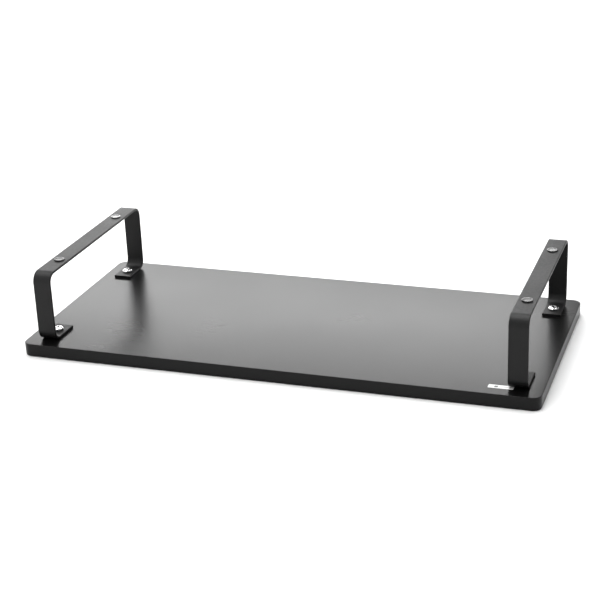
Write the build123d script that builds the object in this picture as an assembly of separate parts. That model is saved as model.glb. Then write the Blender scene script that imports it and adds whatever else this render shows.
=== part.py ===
from build123d import *
import os

# An open under-desk shelf. A laminated board hangs from two brackets bent from
# flat bar. Each bracket stands on two feet, bolted into threaded inserts in the
# board, and has two push-in rubber pads on its top bar, which meet the desk.
#
# Frame: millimetres. The origin is at the centre of the board's underside,
# +X is to the right along the board, +Y to the back and +Z up.

# Board
BOARD_LENGTH = 584.0
BOARD_DEPTH = 267.0
BOARD_THICKNESS = 15.0
BOARD_CORNER_RADIUS = 10.0
LAMINATE_THICKNESS = 0.5
EDGE_BAND_THICKNESS = 2.0
EDGE_BAND_TOP_ROUNDING = 0.5
EDGE_BAND_BOTTOM_ROUNDING = 1.8
EDGE_BAND_SEAM = 0.2

# Brackets
BAR_WIDTH = 21.0
BAR_THICKNESS = 3.0
BAR_EDGE_ROUNDING = 0.9
BEND_OUTER_RADIUS = 12.0
BRACKET_LENGTH = 242.0
BRACKET_HEIGHT = 81.0
BRACKET_END_INSET = 15.5
FOOT_LENGTH = 42.5
FOOT_HOLE_RADIUS = 3.3
PAD_HOLE_RADIUS = 3.25
PAD_SPACING = 150.0

# M6 pan-head bolts, 12 mm long under the head
BOLT_LENGTH = 12.0
BOLT_HEAD_RADIUS = 6.0
BOLT_HEAD_HEIGHT = 3.6
BOLT_HEAD_SIDE = 1.8
THREAD_PITCH = 1.0
THREAD_CREST_RADIUS = 3.0
THREAD_ROOT_RADIUS = 2.45
THREAD_CLEARANCE = 0.05
RECESS_SPAN = 6.8
RECESS_WING = 1.9
RECESS_DEPTH = 2.8
RECESS_TIP_RADIUS = 1.2
RECESS_TAPER = 10.0

# Threaded inserts, screwed into the board from above
INSERT_LENGTH = 10.0
INSERT_BODY_RADIUS = 4.0
INSERT_RIDGE_RADIUS = 4.8
INSERT_RIDGE_PITCH = 2.2
INSERT_RIDGES = 4
INSERT_TOP_PLAIN = 0.8
INSERT_HEX_FLATS = 6.4
INSERT_HEX_DEPTH = 2.5
INSERT_HOLE_DEPTH = 11.5
LAMINATE_HOLE_RADIUS = 5.0

# Rubber pads: head on the bar, neck in its hole, barb and hollow stem below
PAD_HEAD_RADIUS = 6.0
PAD_HEAD_HEIGHT = 1.1
PAD_HEAD_ROUNDING = 0.4
PAD_DISH_RADIUS = 4.2
PAD_DISH_DEPTH = 0.25
PAD_MEMBRANE = 0.6
PAD_BARB_RADIUS = 4.2
PAD_BARB_LAND = 0.8
PAD_STEM_LENGTH = 5.0
PAD_STEM_TIP_RADIUS = 3.1
PAD_BORE_RADIUS = 2.25

# Blank label beside the right bracket's front foot
LABEL_LENGTH = 26.5
LABEL_WIDTH = 7.5
LABEL_THICKNESS = 0.12
LABEL_CORNER_RADIUS = 0.8
LABEL_X = 248.0
LABEL_Y = -115.6

BAR_X = BOARD_LENGTH / 2 - BRACKET_END_INSET - BAR_WIDTH / 2
BAR_TOP_Z = BOARD_THICKNESS + BRACKET_HEIGHT
FOOT_TOP_Z = BOARD_THICKNESS + BAR_THICKNESS
FOOT_END_Y = BRACKET_LENGTH / 2 - FOOT_LENGTH
BOLT_Y = (FOOT_END_Y + BRACKET_LENGTH / 2 - BEND_OUTER_RADIUS) / 2
PAD_Y = PAD_SPACING / 2

SIDES = {"left": -1, "right": 1}
ENDS = {"front": -1, "back": 1}
CORNERS = {f"{s}_{e}": (SIDES[s], ENDS[e]) for s in SIDES for e in ENDS}


def board_outline(inset):
    """The board's plan outline, moved inwards by inset."""
    length = BOARD_LENGTH - 2 * inset
    depth = BOARD_DEPTH - 2 * inset
    return RectangleRounded(length, depth, BOARD_CORNER_RADIUS - inset)


def turned(points):
    """A solid turned about Z from a closed outline of (radius, height) points."""
    outline = make_face(Polyline(*points, close=True))
    return revolve(Plane.XZ * outline, Axis.Z)


def ridge_points(root, crest, pitch, count, top):
    """Points down a ridged wall: count V ridges, from the height top."""
    points = []
    for ridge in range(count):
        high = top - ridge * pitch
        points += [(root, high), (crest, high - pitch / 2)]
    return points + [(root, top - count * pitch)]


def at_corner(shape, side, end, y, z):
    """The shape, moved to one of the four bracket corners."""
    return Pos(side * BAR_X, end * y, z) * shape


def insert_envelope():
    """The insert's outer form with no bore. Its top is at z = 0."""
    ridges = ridge_points(
        INSERT_BODY_RADIUS, INSERT_RIDGE_RADIUS, INSERT_RIDGE_PITCH, INSERT_RIDGES, -INSERT_TOP_PLAIN
    )
    top = [(0, 0), (INSERT_BODY_RADIUS, 0)]
    bottom = [(INSERT_BODY_RADIUS, -INSERT_LENGTH), (0, -INSERT_LENGTH)]
    return turned(top + ridges + bottom)


def threaded_shank(length, gap):
    """A ridged M6 shank, from z = 0 down, grown by gap. It also cuts the insert."""
    root = THREAD_ROOT_RADIUS + gap
    crest = THREAD_CREST_RADIUS + gap
    ridges = ridge_points(root, crest, THREAD_PITCH, round(length / THREAD_PITCH), 0)
    return turned([(0, 0)] + ridges + [(0, -length)])


def board_core():
    core = extrude(board_outline(EDGE_BAND_THICKNESS), BOARD_THICKNESS - 2 * LAMINATE_THICKNESS)
    core = Pos(0, 0, LAMINATE_THICKNESS) * core
    drill = Cylinder(
        INSERT_BODY_RADIUS, INSERT_HOLE_DEPTH, align=(Align.CENTER, Align.CENTER, Align.MAX)
    )
    cutter = insert_envelope() + drill
    for side, end in CORNERS.values():
        core -= at_corner(cutter, side, end, BOLT_Y, BOARD_THICKNESS)
    return core


def bottom_laminate():
    return extrude(board_outline(EDGE_BAND_THICKNESS), LAMINATE_THICKNESS)


def top_laminate():
    sheet = board_outline(EDGE_BAND_THICKNESS)
    for side, end in CORNERS.values():
        sheet -= at_corner(Circle(LAMINATE_HOLE_RADIUS), side, end, BOLT_Y, 0)
    return Pos(0, 0, BOARD_THICKNESS - LAMINATE_THICKNESS) * extrude(sheet, LAMINATE_THICKNESS)


def edge_band():
    """A strip glued round the board, its outer edges rounded, its ends meeting at the back."""
    solid = extrude(board_outline(0), BOARD_THICKNESS)
    solid = fillet(solid.faces().sort_by(Axis.Z)[-1].edges(), EDGE_BAND_TOP_ROUNDING)
    solid = fillet(solid.faces().sort_by(Axis.Z)[0].edges(), EDGE_BAND_BOTTOM_ROUNDING)
    solid -= extrude(board_outline(EDGE_BAND_THICKNESS), BOARD_THICKNESS)
    seam = Box(EDGE_BAND_SEAM, 4 * EDGE_BAND_THICKNESS, 3 * BOARD_THICKNESS)
    return solid - Pos(0, BOARD_DEPTH / 2, 0) * seam


def bracket(side):
    """Flat bar bent into a low arch, with both feet turned inwards on the board."""
    half = BAR_THICKNESS / 2
    leg_y = BRACKET_LENGTH / 2 - half
    low = BOARD_THICKNESS + half
    high = BAR_TOP_Z - half
    x = side * BAR_X
    centre_line = FilletPolyline(
        (x, -FOOT_END_Y, low),
        (x, -leg_y, low),
        (x, -leg_y, high),
        (x, leg_y, high),
        (x, leg_y, low),
        (x, FOOT_END_Y, low),
        radius=BEND_OUTER_RADIUS - half,
    )
    start = Plane(origin=centre_line @ 0, x_dir=(1, 0, 0), z_dir=centre_line % 0)
    bar = sweep(start * RectangleRounded(BAR_WIDTH, BAR_THICKNESS, BAR_EDGE_ROUNDING), path=centre_line)
    for end in ENDS.values():
        bar -= at_corner(Cylinder(FOOT_HOLE_RADIUS, 3 * BAR_THICKNESS), side, end, BOLT_Y, low)
        bar -= at_corner(Cylinder(PAD_HOLE_RADIUS, 3 * BAR_THICKNESS), side, end, PAD_Y, high)
    return bar


def cross_recess():
    """The driver's cross, cut down from z = 0, narrowing towards its tip."""
    wings = Rectangle(RECESS_SPAN, RECESS_WING) + Rectangle(RECESS_WING, RECESS_SPAN)
    pocket = extrude(wings, -RECESS_DEPTH, taper=RECESS_TAPER)
    cone = Cone(
        RECESS_TIP_RADIUS, RECESS_SPAN / 2, RECESS_DEPTH, align=(Align.CENTER, Align.CENTER, Align.MAX)
    )
    return pocket & cone


def bolt():
    """A pan-head bolt. The head's bearing face is at z = 0."""
    side = (BOLT_HEAD_RADIUS, BOLT_HEAD_SIDE)
    crown = (0, BOLT_HEAD_HEIGHT)
    shoulder = (BOLT_HEAD_RADIUS, 0.95 * BOLT_HEAD_HEIGHT)
    dome = Bezier(side, shoulder, (BOLT_HEAD_RADIUS / 2, BOLT_HEAD_HEIGHT), crown)
    below = Polyline(crown, (0, 0), (BOLT_HEAD_RADIUS, 0), side)
    head = revolve(Plane.XZ * make_face([dome, below]), Axis.Z)
    shank = threaded_shank(BOLT_LENGTH, 0)
    return head + shank - Pos(0, 0, BOLT_HEAD_HEIGHT) * cross_recess()


def insert():
    """A threaded insert with a hexagonal driving socket. Its top is at z = 0."""
    socket = extrude(RegularPolygon(INSERT_HEX_FLATS / 2, 6, major_radius=False), -INSERT_HEX_DEPTH)
    return insert_envelope() - threaded_shank(INSERT_LENGTH, THREAD_CLEARANCE) - socket


def pad():
    """A push-in pad with a dished head. The bar's top face is at z = 0."""
    top = PAD_HEAD_HEIGHT
    dish = top - PAD_DISH_DEPTH
    barb = -BAR_THICKNESS
    tip = barb - PAD_STEM_LENGTH
    bore_top = dish - PAD_MEMBRANE
    rim = (PAD_HEAD_RADIUS, top)
    outline = make_face(
        Polyline(
            (0, dish),
            (PAD_DISH_RADIUS - PAD_DISH_DEPTH, dish),
            (PAD_DISH_RADIUS, top),
            rim,
            (PAD_HEAD_RADIUS, 0),
            (PAD_HOLE_RADIUS, 0),
            (PAD_HOLE_RADIUS, barb),
            (PAD_BARB_RADIUS, barb),
            (PAD_BARB_RADIUS, barb - PAD_BARB_LAND),
            (PAD_STEM_TIP_RADIUS, tip),
            (PAD_BORE_RADIUS, tip),
            (PAD_BORE_RADIUS, bore_top),
            (0, bore_top),
            close=True,
        )
    )
    corner = outline.vertices().sort_by_distance(rim)[0]
    outline = fillet(corner, PAD_HEAD_ROUNDING)
    return revolve(Plane.XZ * outline, Axis.Z)


def label():
    blank = RectangleRounded(LABEL_LENGTH, LABEL_WIDTH, LABEL_CORNER_RADIUS)
    return Pos(LABEL_X, LABEL_Y, BOARD_THICKNESS) * extrude(blank, LABEL_THICKNESS)


def make_parts():
    """Every piece of the shelf, by node name."""
    parts = {
        "board_core": board_core(),
        "top_laminate": top_laminate(),
        "bottom_laminate": bottom_laminate(),
        "edge_band": edge_band(),
        "label": label(),
    }
    for name, side in SIDES.items():
        parts[f"{name}_bracket"] = bracket(side)
    for corner, (side, end) in CORNERS.items():
        parts[f"bolt_{corner}"] = at_corner(bolt(), side, end, BOLT_Y, FOOT_TOP_Z)
        parts[f"insert_{corner}"] = at_corner(insert(), side, end, BOLT_Y, BOARD_THICKNESS)
        parts[f"pad_{corner}"] = at_corner(pad(), side, end, PAD_Y, BAR_TOP_Z)
    return parts


def write_parts():
    os.makedirs("parts", exist_ok=True)
    for name, shape in make_parts().items():
        export_step(shape, f"parts/{name}.step")
        print(f"{name}: {shape.volume:.1f} mm3, valid {shape.is_valid}")


write_parts()
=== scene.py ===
import math

import bmesh
import bpy
from mathutils import Matrix, Vector


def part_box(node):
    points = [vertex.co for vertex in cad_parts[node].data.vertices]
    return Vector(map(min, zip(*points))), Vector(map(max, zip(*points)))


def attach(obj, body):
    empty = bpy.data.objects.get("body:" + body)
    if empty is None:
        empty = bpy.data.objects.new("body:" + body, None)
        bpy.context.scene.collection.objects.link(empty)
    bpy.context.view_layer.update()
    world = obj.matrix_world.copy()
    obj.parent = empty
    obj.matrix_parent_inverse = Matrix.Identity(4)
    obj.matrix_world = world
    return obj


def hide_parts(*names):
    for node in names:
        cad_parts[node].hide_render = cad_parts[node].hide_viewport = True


# The visual model of an open under-desk shelf, built round its CAD model: metres, +Z up.
# The bolts, the inserts and the bumpers are remade here in finer detail. The board and the
# brackets keep their CAD meshes and get new materials.

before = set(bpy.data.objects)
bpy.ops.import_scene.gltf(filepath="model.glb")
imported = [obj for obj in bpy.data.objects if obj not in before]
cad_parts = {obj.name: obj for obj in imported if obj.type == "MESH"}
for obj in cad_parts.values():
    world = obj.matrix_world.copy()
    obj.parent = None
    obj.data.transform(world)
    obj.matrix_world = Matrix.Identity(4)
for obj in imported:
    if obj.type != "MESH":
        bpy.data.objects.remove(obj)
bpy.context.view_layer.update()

MM = 0.001
TURN = 2 * math.pi
WELD = 1e-7

# Camera: degrees, metres and millimetres of lens
VIEW_AZIMUTH = 19.429
VIEW_ELEVATION = 22.179
VIEW_ROLL = -2.365
VIEW_DISTANCE = 1.8083
VIEW_TARGET = Vector((-0.03986, 0.09507, 0.0))
LENS = 89.905

# Studio: softboxes as (azimuth span, elevation span, edge blur, level). The spans are in
# degrees. Azimuth 0 is along +Y, behind the shelf, and grows towards +X.
SOFTBOXES = {
    "back_wall": ((-95, 20), (-20, 30), 16, 0.8),
    "left_wall": ((-178, -80), (-20, 52), 16, 1.3),
    "front_haze": ((80, 178), (24, 60), 16, 0.7),
    "overhead": ((-400, 400), (44, 120), 14, 0.5),
    "rear_key": ((-50, 50), (50, 74), 10, 6.5),
    "left_key": ((-140, -50), (64, 87), 8, 11.0),
}

# The panel that stands behind the shelf and faces it: metres, and its radiance
PANEL_LEFT, PANEL_RIGHT = -1.40, 0.17
PANEL_LOW, PANEL_HIGH = 0.23, 0.395
PANEL_BACK = 0.70
PANEL_LEVEL = 6.9

FLOOR_HALF_WIDTH = 12.0
FLOOR_ALBEDO = 0.78
FLOOR_ROUGHNESS = 0.9

# Surfaces: specular level, the span of roughness, and the darker and lighter base colour
SURFACES = {
    "laminate": (0.19, (0.280, 0.285), (0.0022, 0.0022, 0.0023), (0.0038, 0.0037, 0.0036)),
    "edging": (0.17, (0.28, 0.33), (0.0026, 0.0026, 0.0027), (0.0042, 0.0041, 0.0040)),
    "particle_board": (0.2, (0.75, 0.9), (0.20, 0.12, 0.06), (0.58, 0.44, 0.28)),
    "powder_coat": (0.25, (0.45, 0.51), (0.0025, 0.0025, 0.0026), (0.0045, 0.0045, 0.0046)),
    "rubber": (0.33, (0.17, 0.26), (0.0060, 0.0060, 0.0060), (0.0120, 0.0118, 0.0116)),
    # The bright plating's darker colour is reached only in the driver's recess, as painted shade.
    "bright_plating": (0.5, (0.10, 0.20), (0.06, 0.06, 0.06), (0.90, 0.90, 0.90)),
    "dull_plating": (0.5, (0.22, 0.38), (0.10, 0.09, 0.07), (0.72, 0.69, 0.60)),
    "label": (0.4, (0.35, 0.45), (0.02, 0.02, 0.02), (0.66, 0.66, 0.655)),
}

# Textures: cells per metre, one number for all ways or one each for X, Y and Z
PEARL_SCALE = 2500
GRAIN_SCALE = (38, 900, 900)
SMUDGE_SCALE = 7
EDGING_LINES_SCALE = (24, 24, 1900)
EDGING_WEAR_SCALE = 60
CHIP_SCALE = (300, 420, 700)
CHIP_FIBRE_SCALE = (500, 2500, 2500)
PEBBLE_SCALE = 1500
PEEL_SCALE = 420
COAT_CLOUD_SCALE = 24
RUBBER_GRAIN_SCALE = 2600
TURNING_SCALE = 9000
STAIN_SCALE = 500
PAPER_SCALE = 1800

# How deep each texture is pressed
PEARL_DEPTH = 0.030 * MM
GRIT_DEPTH = 0.035 * MM
CHIP_DEPTH = 0.15 * MM
RUBBER_GRAIN_DEPTH = 0.008 * MM
TURNING_DEPTH = 0.004 * MM
PAPER_DEPTH = 0.01 * MM

# Most of a noise's values lie between these
NOISE_LOW, NOISE_HIGH = 0.3, 0.7

# Edge wear on the board and the bars: how far in from the edge it starts and ends
WEAR_START = 1.2 * MM
WEAR_END = 0.2 * MM

# The label's print: a block and a bar, as shares of its length and depth, and their ink
LABEL_BLOCK = ((0.24, 0.38), (0.24, 0.76), 0.90)
LABEL_BAR = ((0.46, 0.88), (0.42, 0.60), 0.4)
LABEL_BLUR_ALONG, LABEL_BLUR_UP = 0.02, 0.06

# Pieces made here, in millimetres: (radius, height) pairs run along an outline
SEGMENTS = 72
SMOOTH_ANGLE = 35
BOLT_HEAD_HEIGHT = 3.6
BOLT_HEAD = (
    (5.2, 0.0),
    (5.85, 0.7),
    (6.0, 1.4),
    (5.7, 2.2),
    (4.8, 2.95),
    (3.2, 3.4),
    (1.5, 3.58),
    (0.0, BOLT_HEAD_HEIGHT),
)
BOLT_HEAD_ROUNDING = 1.2
BOLT_THREAD_END = -11.2
BOLT_END = -12.0
BOLT_END_RADIUS = 1.9
BOLT_ROOT, BOLT_CREST, BOLT_PITCH = 2.45, 3.0, 1.0

# The driver's cross, as (height, reach of a wing, half its width) from the top down
CROSS_LEVELS = ((4.4, 3.55, 1.05), (3.6, 3.3, 0.95), (0.9, 1.5, 0.55))
CROSS_EDGE_BREAK = 0.12 * MM
CROSS_BREAK_ANGLE = 40

INSERT_LENGTH = 10.0
INSERT_CORE, INSERT_RIDGE, INSERT_RIDGE_PITCH = 4.0, 4.8, 2.2
INSERT_RIDGE_TOP, INSERT_RIDGE_END, INSERT_RIDGE_FADE = -0.6, -9.4, 1.6
INSERT_TOP_RADIUS, INSERT_TOP_CHAMFER = 3.75, 0.25
INSERT_TIP_RADIUS, INSERT_TIP_CHAMFER = 3.6, 0.4
INSERT_BORE_MOUTH, INSERT_BORE_END = 2.9, -9.8
INSERT_BORE_CREST, INSERT_BORE_ROOT = 2.5, 3.05
INSERT_SOCKET_DEPTH, INSERT_SOCKET_FLATS = 2.5, 6.4

BUMPER_HEAD_RADIUS = 6.0
BUMPER_DISH_RADIUS, BUMPER_RIM_RADIUS, BUMPER_DISH_DEPTH = 3.7, 4.3, 0.25
BUMPER_NECK_RADIUS, BUMPER_NECK_END = 3.25, -3.0
BUMPER_BARB_RADIUS, BUMPER_BARB_TOP, BUMPER_BARB_END = 4.2, -3.05, -3.8
BUMPER_TIP_RADIUS, BUMPER_TIP = 3.1, -8.0
BUMPER_BORE_RADIUS, BUMPER_CROWN = 2.25, 0.85
BUMPER_ROUNDING = 0.35

# Sizes read from the frame
CORNERS = ("left_front", "left_back", "right_front", "right_back")
BOARD_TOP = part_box("top_laminate")[1].z
BAR_LOW, BAR_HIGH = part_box("right_bracket")
BAR_X = (BAR_LOW.x + BAR_HIGH.x) / 2
BAR_HALF_WIDTH = (BAR_HIGH.x - BAR_LOW.x) / 2
BAR_TOP = BAR_HIGH.z


def make_camera():
    azimuth, elevation, roll = (math.radians(v) for v in (VIEW_AZIMUTH, VIEW_ELEVATION, VIEW_ROLL))
    level = math.cos(elevation)
    back = Vector((math.sin(azimuth) * level, -math.cos(azimuth) * level, math.sin(elevation)))
    right = Vector((math.cos(azimuth), math.sin(azimuth), 0.0))
    axes = Matrix((right, back.cross(right), back)).transposed().to_4x4()
    data = bpy.data.cameras.new("camera")
    data.lens = LENS
    camera = bpy.data.objects.new("camera", data)
    camera.matrix_world = axes @ Matrix.Rotation(roll, 4, "Z")
    camera.location = VIEW_TARGET + back * VIEW_DISTANCE
    bpy.context.scene.collection.objects.link(camera)
    bpy.context.scene.camera = camera


# --- Shader nodes ---------------------------------------------------------------------


def add(tree, kind, inputs=(), **settings):
    """A new shader node. inputs gives its sockets values, or the sockets that feed them."""
    node = tree.nodes.new("ShaderNode" + kind)
    for name, value in settings.items():
        setattr(node, name, value)
    for socket, value in dict(inputs).items():
        if isinstance(value, bpy.types.NodeSocket):
            tree.links.new(value, node.inputs[socket])
        else:
            node.inputs[socket].default_value = value
    return node


def maths(tree, operation, *values):
    return add(tree, "Math", dict(enumerate(values)), operation=operation).outputs[0]


def fade(tree, value, start, end, low=0.0, high=1.0):
    """value, mapped smoothly from the span start..end to low..high, and held outside it."""
    span = {"Value": value, "From Min": start, "From Max": end, "To Min": low, "To Max": high}
    return add(tree, "MapRange", span, interpolation_type="SMOOTHSTEP").outputs["Result"]


def share_of(tree, value, start, end):
    """How far value lies along the span start..end, as 0..1."""
    span = {"Value": value, "From Min": start, "From Max": end}
    return add(tree, "MapRange", span).outputs["Result"]


def vary(tree, texture, low, high):
    """A noise, spread over low..high."""
    return fade(tree, texture, NOISE_LOW, NOISE_HIGH, low, high)


def mix_in(tree, value, part, share):
    """value plus this share of part."""
    return maths(tree, "ADD", value, maths(tree, "MULTIPLY", part, share))


def band(tree, value, low, high, blur):
    """1 where value is between low and high, 0 outside, with soft ends blur wide."""
    half = blur / 2
    rise = fade(tree, value, low - half, low + half)
    fall = fade(tree, value, high + half, high - half)
    return maths(tree, "MULTIPLY", rise, fall)


def place(tree):
    """The point on the surface, in the frame's metres."""
    return add(tree, "TexCoord").outputs["Object"]


def coordinate(tree, vector, axis):
    return add(tree, "SeparateXYZ", {"Vector": vector}).outputs[axis]


def stretched(tree, vector, scale):
    return add(tree, "Mapping", {"Vector": vector, "Scale": scale}).outputs["Vector"]


def noise(tree, vector, scale, detail=2.0, roughness=0.5):
    """A noise of 0..1. scale is one number, or one for each axis."""
    if isinstance(scale, tuple):
        vector, scale = stretched(tree, vector, scale), 1.0
    inputs = {"Vector": vector, "Scale": scale, "Detail": detail, "Roughness": roughness}
    return add(tree, "TexNoise", inputs).outputs["Fac"]


def blend_colours(tree, factor, surface):
    """The surface's darker colour where factor is 0, its lighter one where it is 1."""
    *_, dark, light = SURFACES[surface]
    ramp = add(tree, "ValToRGB", {"Fac": factor})
    ramp.color_ramp.elements[0].color = (*dark, 1.0)
    ramp.color_ramp.elements[1].color = (*light, 1.0)
    return ramp.outputs["Color"]


def bump(tree, height, depth, strength=1.0):
    """A normal from a height of 0..1 that stands for depth metres."""
    inputs = {"Height": height, "Distance": depth, "Strength": strength}
    return add(tree, "Bump", inputs).outputs["Normal"]


def material(name, specular, metallic=0.0):
    """A new material, its node tree and its shader."""
    made = bpy.data.materials.new(name)
    made.use_nodes = True
    shader = made.node_tree.nodes["Principled BSDF"]
    shader.inputs["Specular IOR Level"].default_value = specular
    shader.inputs["Metallic"].default_value = metallic
    return made, made.node_tree, shader


def finish(tree, shader, colour, roughness, normal):
    tree.links.new(colour, shader.inputs["Base Color"])
    tree.links.new(roughness, shader.inputs["Roughness"])
    tree.links.new(normal, shader.inputs["Normal"])


# --- Studio ---------------------------------------------------------------------------


def make_floor():
    size = FLOOR_HALF_WIDTH
    mesh = bpy.data.meshes.new("floor")
    corners = [(-size, -size, 0), (size, -size, 0), (size, size, 0), (-size, size, 0)]
    mesh.from_pydata(corners, [], [(0, 1, 2, 3)])
    floor = bpy.data.objects.new("floor", mesh)
    bpy.context.scene.collection.objects.link(floor)
    made, tree, shader = material("pale_floor", 0.0)
    shader.inputs["Base Color"].default_value = (FLOOR_ALBEDO, FLOOR_ALBEDO, FLOOR_ALBEDO, 1)
    shader.inputs["Roughness"].default_value = FLOOR_ROUGHNESS
    mesh.materials.append(made)


def make_studio():
    """A soft studio: white softboxes round a dark room, all far away."""
    world = bpy.data.worlds.new("studio")
    bpy.context.scene.world = world
    world.use_nodes = True
    tree = world.node_tree
    towards = add(tree, "TexCoord").outputs["Generated"]
    direction = add(tree, "SeparateXYZ", {"Vector": towards}).outputs
    azimuth = maths(tree, "DEGREES", maths(tree, "ARCTAN2", direction["X"], direction["Y"]))
    elevation = maths(tree, "DEGREES", maths(tree, "ARCSINE", direction["Z"]))
    total = None
    for azimuths, elevations, blur, level in SOFTBOXES.values():
        across = band(tree, azimuth, *azimuths, blur)
        up = band(tree, elevation, *elevations, blur)
        glow = maths(tree, "MULTIPLY", maths(tree, "MULTIPLY", across, up), level)
        total = glow if total is None else maths(tree, "ADD", total, glow)
    tree.links.new(total, tree.nodes["Background"].inputs["Strength"])
    tree.nodes["Background"].inputs["Color"].default_value = (1, 1, 1, 1)
    bpy.context.scene.view_settings.view_transform = "Standard"


def make_panel():
    """A long strip light behind the shelf. The board's sheen is its reflection."""
    light = bpy.data.lights.new("back_panel", "AREA")
    light.shape = "RECTANGLE"
    light.size = PANEL_RIGHT - PANEL_LEFT
    light.size_y = PANEL_HIGH - PANEL_LOW
    light.energy = PANEL_LEVEL * math.pi * light.size * light.size_y
    panel = bpy.data.objects.new("back_panel", light)
    panel.location = ((PANEL_LEFT + PANEL_RIGHT) / 2, PANEL_BACK, (PANEL_LOW + PANEL_HIGH) / 2)
    panel.rotation_euler = (-math.pi / 2, 0, 0)
    panel.visible_camera = False
    bpy.context.scene.collection.objects.link(panel)


# --- Materials ------------------------------------------------------------------------


def laminate():
    """Black melamine: satin, with a fine pearl texture, a faint grain and faint smudges."""
    specular, satin, *_ = SURFACES["laminate"]
    made, tree, shader = material("black_laminate", specular)
    at = place(tree)
    grain = noise(tree, at, GRAIN_SCALE, 4.0, 0.6)
    smudge = noise(tree, at, SMUDGE_SCALE)
    pearl = noise(tree, at, PEARL_SCALE, 1.0)
    rough = maths(tree, "ADD", vary(tree, grain, *satin), vary(tree, smudge, -0.008, 0.008))
    height = mix_in(tree, pearl, grain, 0.02)
    colour = blend_colours(tree, grain, "laminate")
    finish(tree, shader, colour, rough, bump(tree, height, PEARL_DEPTH))
    return made


def edging():
    """Black edge band: extruded, so its fine lines run round the board, rubbed at its edges."""
    specular, satin, *_ = SURFACES["edging"]
    made, tree, shader = material("black_edge_band", specular)
    at = place(tree)
    lines = noise(tree, at, EDGING_LINES_SCALE, 3.0)
    pearl = noise(tree, at, PEARL_SCALE, 1.0)
    middle = BOARD_TOP / 2
    from_middle = maths(tree, "SUBTRACT", coordinate(tree, at, "Z"), middle)
    rubbed = fade(tree, maths(tree, "ABSOLUTE", from_middle), middle - WEAR_START, middle)
    worn = maths(tree, "MULTIPLY", rubbed, noise(tree, at, EDGING_WEAR_SCALE, 3.0))
    rough = mix_in(tree, vary(tree, lines, *satin), worn, 0.02)
    height = mix_in(tree, pearl, lines, 0.1)
    colour = blend_colours(tree, worn, "edging")
    finish(tree, shader, colour, rough, bump(tree, height, PEARL_DEPTH))
    return made


def particle_board():
    """Raw particle board: pressed chips of mixed browns, with darker gaps."""
    specular, dry, *_ = SURFACES["particle_board"]
    made, tree, shader = material("particle_board", specular)
    at = place(tree)
    cells = {"Vector": stretched(tree, at, CHIP_SCALE), "Scale": 1.0}
    chips = add(tree, "TexVoronoi", cells).outputs
    shade = add(tree, "SeparateColor", {"Color": chips["Color"]}).outputs["Red"]
    fibre = noise(tree, at, CHIP_FIBRE_SCALE, 3.0)
    mixed = mix_in(tree, maths(tree, "MULTIPLY", shade, 0.7), fibre, 0.3)
    height = maths(tree, "SUBTRACT", fibre, chips["Distance"])
    colour = blend_colours(tree, mixed, "particle_board")
    rough = fade(tree, mixed, 0.0, 1.0, *dry)
    finish(tree, shader, colour, rough, bump(tree, height, CHIP_DEPTH, 0.7))
    return made


def powder_coat():
    """Black powder coat: a fine pebbled skin, a little smoother along the bar's edges."""
    specular, matt, *_ = SURFACES["powder_coat"]
    made, tree, shader = material("black_powder_coat", specular)
    at = place(tree)
    across = maths(tree, "ABSOLUTE", coordinate(tree, at, "X"))
    off_centre = maths(tree, "ABSOLUTE", maths(tree, "SUBTRACT", across, BAR_X))
    edge = fade(tree, off_centre, BAR_HALF_WIDTH - WEAR_START, BAR_HALF_WIDTH - WEAR_END)
    cells = {"Vector": at, "Scale": PEBBLE_SCALE}
    pebbles = add(tree, "TexVoronoi", cells, feature="SMOOTH_F1").outputs["Distance"]
    peel = noise(tree, at, PEEL_SCALE, 3.0)
    grit = noise(tree, at, PEARL_SCALE, 1.0)
    cloud = noise(tree, at, COAT_CLOUD_SCALE)
    rough = maths(tree, "ADD", vary(tree, peel, *matt), vary(tree, cloud, -0.015, 0.015))
    rough = mix_in(tree, rough, edge, -0.06)
    height = mix_in(tree, grit, maths(tree, "ADD", pebbles, peel), 0.15)
    colour = blend_colours(tree, peel, "powder_coat")
    finish(tree, shader, colour, rough, bump(tree, height, GRIT_DEPTH))
    return made


def rubber():
    """Black moulded rubber: smooth, with a faint bloom."""
    specular, smooth, *_ = SURFACES["rubber"]
    made, tree, shader = material("black_rubber", specular)
    at = place(tree)
    fine = noise(tree, at, RUBBER_GRAIN_SCALE)
    bloom = noise(tree, at, PEEL_SCALE, 3.0)
    colour = blend_colours(tree, bloom, "rubber")
    rough = vary(tree, bloom, *smooth)
    finish(tree, shader, colour, rough, bump(tree, fine, RUBBER_GRAIN_DEPTH, 0.4))
    return made


def recess_painted_shade(tree, at, reach):
    """Painted shade for the driver's recess: how deep the point lies in it, 0 on the rest of the
    piece.
    """
    up = coordinate(tree, at, "Z")
    inside = fade(tree, reach, 3.7 * MM, 3.4 * MM)
    above = fade(tree, up, 0.2 * MM, 0.5 * MM)
    sunk = fade(tree, up, 3.3 * MM, 2.5 * MM)
    return maths(tree, "MULTIPLY", maths(tree, "MULTIPLY", inside, above), sunk)


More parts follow.
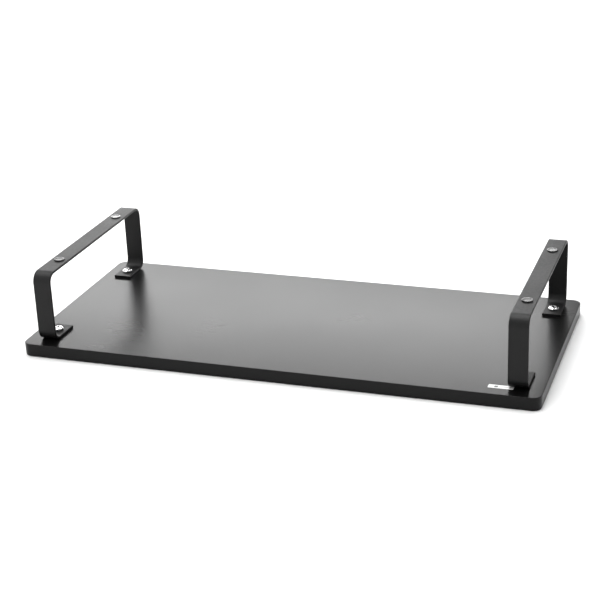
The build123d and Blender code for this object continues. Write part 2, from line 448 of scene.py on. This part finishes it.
def turned_metal(name, surface):
    """Plated steel with fine turning marks round the piece's own axis, its base colour painted
    darker in the driver's recess as shade.
    """
    specular, polish, *_ = SURFACES[surface]
    made, tree, shader = material(name, specular, 1.0)
    at = place(tree)
    flat = add(tree, "VectorMath", {0: at, 1: (1, 1, 0)}, operation="MULTIPLY").outputs["Vector"]
    reach = add(tree, "VectorMath", {0: flat}, operation="LENGTH").outputs["Value"]
    outward = add(tree, "CombineXYZ", {"X": reach}).outputs["Vector"]
    marks = noise(tree, outward, TURNING_SCALE)
    stain = noise(tree, at, STAIN_SCALE, 3.0)
    # Base colour: varies with the stain, and is painted darker in the driver's recess as painted
    # shade.
    stain_and_painted_shade = mix_in(tree, vary(tree, stain, 0.8, 1.0), recess_painted_shade(tree, at, reach), -0.8)
    rough = maths(tree, "ADD", vary(tree, marks, *polish), vary(tree, stain, -0.02, 0.03))
    colour = blend_colours(tree, stain_and_painted_shade, surface)
    finish(tree, shader, colour, rough, bump(tree, marks, TURNING_DEPTH, 0.4))
    return made


def print_mark(tree, along, up, mark):
    """The ink of one mark on the label: 0 outside it."""
    span_along, span_up, ink = mark
    across = band(tree, along, *span_along, LABEL_BLUR_ALONG)
    upward = band(tree, up, *span_up, LABEL_BLUR_UP)
    return maths(tree, "MULTIPLY", maths(tree, "MULTIPLY", across, upward), ink)


def label_stock():
    """White coated stock, printed with one short dark block and one thin grey bar."""
    specular, coated, *_ = SURFACES["label"]
    made, tree, shader = material("blank_label", specular)
    at = place(tree)
    low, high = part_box("label")
    along = share_of(tree, coordinate(tree, at, "X"), low.x, high.x)
    up = share_of(tree, coordinate(tree, at, "Y"), low.y, high.y)
    block, bar = (print_mark(tree, along, up, mark) for mark in (LABEL_BLOCK, LABEL_BAR))
    fibre = noise(tree, at, PAPER_SCALE, 3.0)
    paper = vary(tree, fibre, 0.97, 1.0)
    printed = maths(tree, "SUBTRACT", paper, maths(tree, "ADD", block, bar))
    colour = blend_colours(tree, printed, "label")
    rough = vary(tree, fibre, *coated)
    finish(tree, shader, colour, rough, bump(tree, fibre, PAPER_DEPTH, 0.3))
    return made


# --- Meshes ---------------------------------------------------------------------------


def rounded(points, radius, steps):
    """The outline with each inner corner rounded, by less than radius where runs are short."""
    result = [Vector(points[0])]
    for before, corner, after in zip(points, points[1:], points[2:]):
        corner = Vector(corner)
        towards, away = Vector(before) - corner, Vector(after) - corner
        half = towards.angle(away) / 2
        longest = 0.45 * min(towards.length, away.length)
        reach = min(radius / math.tan(half), longest)
        start = corner + towards.normalized() * reach
        end = corner + away.normalized() * reach
        for step in range(steps + 1):
            share = step / steps
            result.append(start.lerp(corner, share).lerp(corner.lerp(end, share), share))
    return result + [Vector(points[-1])]


def grid_solid(name, rings):
    """A closed mesh from rings of points, each joined to the next and the last to the first."""
    mesh = bmesh.new()
    loops = [[mesh.verts.new(point) for point in ring] for ring in rings]
    count = len(rings[0])
    for one, two in zip(loops, loops[1:] + loops[:1]):
        for i in range(count):
            j = (i + 1) % count
            mesh.faces.new((one[i], one[j], two[j], two[i]))
    bmesh.ops.remove_doubles(mesh, verts=mesh.verts, dist=WELD)
    bmesh.ops.dissolve_degenerate(mesh, edges=mesh.edges, dist=WELD)
    bmesh.ops.recalc_face_normals(mesh, faces=mesh.faces)
    made = bpy.data.meshes.new(name)
    mesh.to_mesh(made)
    mesh.free()
    return made


def ring(radius, height):
    """One ring of points round Z. radius is a number, or a function of the angle. Millimetres."""
    points = []
    for i in range(SEGMENTS):
        angle = TURN * i / SEGMENTS
        reach = radius(angle) if callable(radius) else radius
        points.append((reach * math.cos(angle) * MM, reach * math.sin(angle) * MM, height * MM))
    return points


def helix_ridge(root, crest, pitch, height):
    """The radius at an angle, at this height, of a V ridge that climbs one pitch each turn."""

    def radius(angle):
        phase = (height / pitch - angle / TURN) % 1.0
        return root + (crest - root) * (1 - abs(2 * phase - 1))

    return radius


def thread_rings(root, crest, pitch, top, bottom, fade_out=1.0):
    """Rings down a threaded wall from top to bottom, its ridge fading out at both ends."""
    rows_per_pitch = 8
    rows = round((top - bottom) / pitch * rows_per_pitch)
    rings = []
    for row in range(rows + 1):
        height = top - (top - bottom) * row / rows
        share = min(1.0, (top - height) / fade_out, (height - bottom) / fade_out)
        ridge = helix_ridge(root, root + (crest - root) * share, pitch, height)
        rings.append(ring(ridge, height))
    return rings


# --- Pieces ---------------------------------------------------------------------------


def bolt_mesh():
    """An M6 pan-head bolt with a helical thread. Its bearing face is at z = 0."""
    outline = rounded(BOLT_HEAD, BOLT_HEAD_ROUNDING, 8)
    rings = [ring(p.x, p.y) for p in reversed(outline)]
    rings += thread_rings(BOLT_ROOT, BOLT_CREST, BOLT_PITCH, 0.0, BOLT_THREAD_END)
    rings += [ring(BOLT_END_RADIUS, BOLT_END), ring(0.0, BOLT_END)]
    return grid_solid("pan_head_bolt", rings)


def cross_cutter():
    """The driver's cross: four wings that narrow and shorten towards their floor."""
    rings = []
    for height, reach, half in CROSS_LEVELS:
        wing = [(reach, -half), (reach, half), (half, half)]
        points = []
        for quarter in range(4):
            turned = Matrix.Rotation(quarter * TURN / 4, 2)
            points += [turned @ Vector(point) for point in wing]
        rings.append([(p.x * MM, p.y * MM, height * MM) for p in points])
    top = [(0.0, 0.0, CROSS_LEVELS[0][0] * MM)] * len(rings[0])
    floor = [(0.0, 0.0, CROSS_LEVELS[-1][0] * MM)] * len(rings[0])
    return grid_solid("driver_cross", [top] + rings + [floor])


def cut(mesh, cutter):
    """mesh less cutter, with the sharp edges that this makes broken by a small bevel."""
    body = bpy.data.objects.new("cut_body", mesh)
    tool = bpy.data.objects.new("cut_tool", cutter)
    for item in (body, tool):
        bpy.context.scene.collection.objects.link(item)
    carve = body.modifiers.new("recess", "BOOLEAN")
    carve.operation = "DIFFERENCE"
    carve.solver = "EXACT"
    carve.object = tool
    broken = body.modifiers.new("broken_edges", "BEVEL")
    broken.width = CROSS_EDGE_BREAK
    broken.segments = 3
    broken.limit_method = "ANGLE"
    broken.angle_limit = math.radians(CROSS_BREAK_ANGLE)
    bpy.context.view_layer.update()
    result = body.evaluated_get(bpy.context.evaluated_depsgraph_get())
    made = bpy.data.meshes.new_from_object(result)
    for item in (body, tool):
        bpy.data.objects.remove(item)
    return made


def hexagon(angle):
    """The radius at this angle of the insert's hexagonal socket."""
    sixth = TURN / 6
    return INSERT_SOCKET_FLATS / 2 / math.cos((angle + sixth / 2) % sixth - sixth / 2)


def insert_mesh():
    """A screw-in insert: helical ridge outside, M6 thread inside. Its top is at z = 0."""
    rings = [ring(INSERT_TOP_RADIUS, 0.0), ring(INSERT_CORE, -INSERT_TOP_CHAMFER)]
    ridge_span = (INSERT_RIDGE_TOP, INSERT_RIDGE_END)
    rings += thread_rings(
        INSERT_CORE, INSERT_RIDGE, INSERT_RIDGE_PITCH, *ridge_span, INSERT_RIDGE_FADE
    )
    rings += [ring(INSERT_CORE, INSERT_TIP_CHAMFER - INSERT_LENGTH)]
    rings += [ring(INSERT_TIP_RADIUS, -INSERT_LENGTH), ring(INSERT_BORE_MOUTH, -INSERT_LENGTH)]
    bore = thread_rings(
        INSERT_BORE_CREST, INSERT_BORE_ROOT, BOLT_PITCH, -INSERT_SOCKET_DEPTH, INSERT_BORE_END
    )
    rings += bore[::-1]
    rings += [ring(hexagon, -INSERT_SOCKET_DEPTH), ring(hexagon, 0.0)]
    return grid_solid("threaded_insert", rings)


def bumper_mesh():
    """A push-in rubber bumper: dished head, neck, barbed hollow stem. The bar's top is z = 0."""
    top = (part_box("pad_left_front")[1].z - BAR_TOP) / MM
    outline = [
        (0.0, top - BUMPER_DISH_DEPTH),
        (BUMPER_DISH_RADIUS, top - BUMPER_DISH_DEPTH),
        (BUMPER_RIM_RADIUS, top),
        (BUMPER_HEAD_RADIUS, top),
        (BUMPER_HEAD_RADIUS, 0.0),
        (BUMPER_NECK_RADIUS, 0.0),
        (BUMPER_NECK_RADIUS, BUMPER_NECK_END),
        (BUMPER_BARB_RADIUS, BUMPER_BARB_TOP),
        (BUMPER_BARB_RADIUS, BUMPER_BARB_END),
        (BUMPER_TIP_RADIUS, BUMPER_TIP),
        (BUMPER_BORE_RADIUS, BUMPER_TIP),
        (BUMPER_BORE_RADIUS, top - BUMPER_CROWN),
        (0.0, top - BUMPER_CROWN),
    ]
    rings = [ring(p.x, p.y) for p in rounded(outline, BUMPER_ROUNDING, 5)]
    return grid_solid("rubber_bumper", rings)


def smooth_by_angle(mesh):
    """Smooth shading, but for the sharp edges."""
    mesh.shade_smooth()
    work = bmesh.new()
    work.from_mesh(mesh)
    limit = math.radians(SMOOTH_ANGLE)
    for edge in work.edges:
        edge.smooth = len(edge.link_faces) == 2 and edge.calc_face_angle(0.0) < limit
    work.to_mesh(mesh)
    work.free()


def set_pieces(mesh, name, node, finish_with, height):
    """One piece at each corner, in the place of the CAD node, with its own zero at this height."""
    mesh.materials.clear()
    mesh.materials.append(finish_with)
    for corner in CORNERS:
        low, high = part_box(f"{node}_{corner}")
        middle = (low + high) / 2
        piece = bpy.data.objects.new(f"{name}_{corner}", mesh.copy())
        piece.location = (middle.x, middle.y, height)
        bpy.context.scene.collection.objects.link(piece)
        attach(piece, "root")
        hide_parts(f"{node}_{corner}")


def dress(names, finish_with):
    """Give these CAD nodes this material."""
    for name in names:
        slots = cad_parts[name].data.materials
        slots.clear()
        slots.append(finish_with)


make_camera()
make_floor()
make_studio()
make_panel()

dress(["top_laminate", "bottom_laminate"], laminate())
dress(["edge_band"], edging())
dress(["board_core"], particle_board())
dress(["left_bracket", "right_bracket"], powder_coat())
dress(["label"], label_stock())

foot_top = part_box("bolt_left_front")[1].z - BOLT_HEAD_HEIGHT * MM
bolt = cut(bolt_mesh(), cross_cutter())
insert = insert_mesh()
bumper = bumper_mesh()
for mesh in (bolt, insert, bumper):
    smooth_by_angle(mesh)
steel = turned_metal("bright_plated_steel", "bright_plating")
zinc = turned_metal("plated_insert", "dull_plating")
set_pieces(bolt, "pan_head_bolt", "bolt", steel, foot_top)
set_pieces(insert, "threaded_insert", "insert", zinc, BOARD_TOP)
set_pieces(bumper, "rubber_bumper", "pad", rubber(), BAR_TOP)
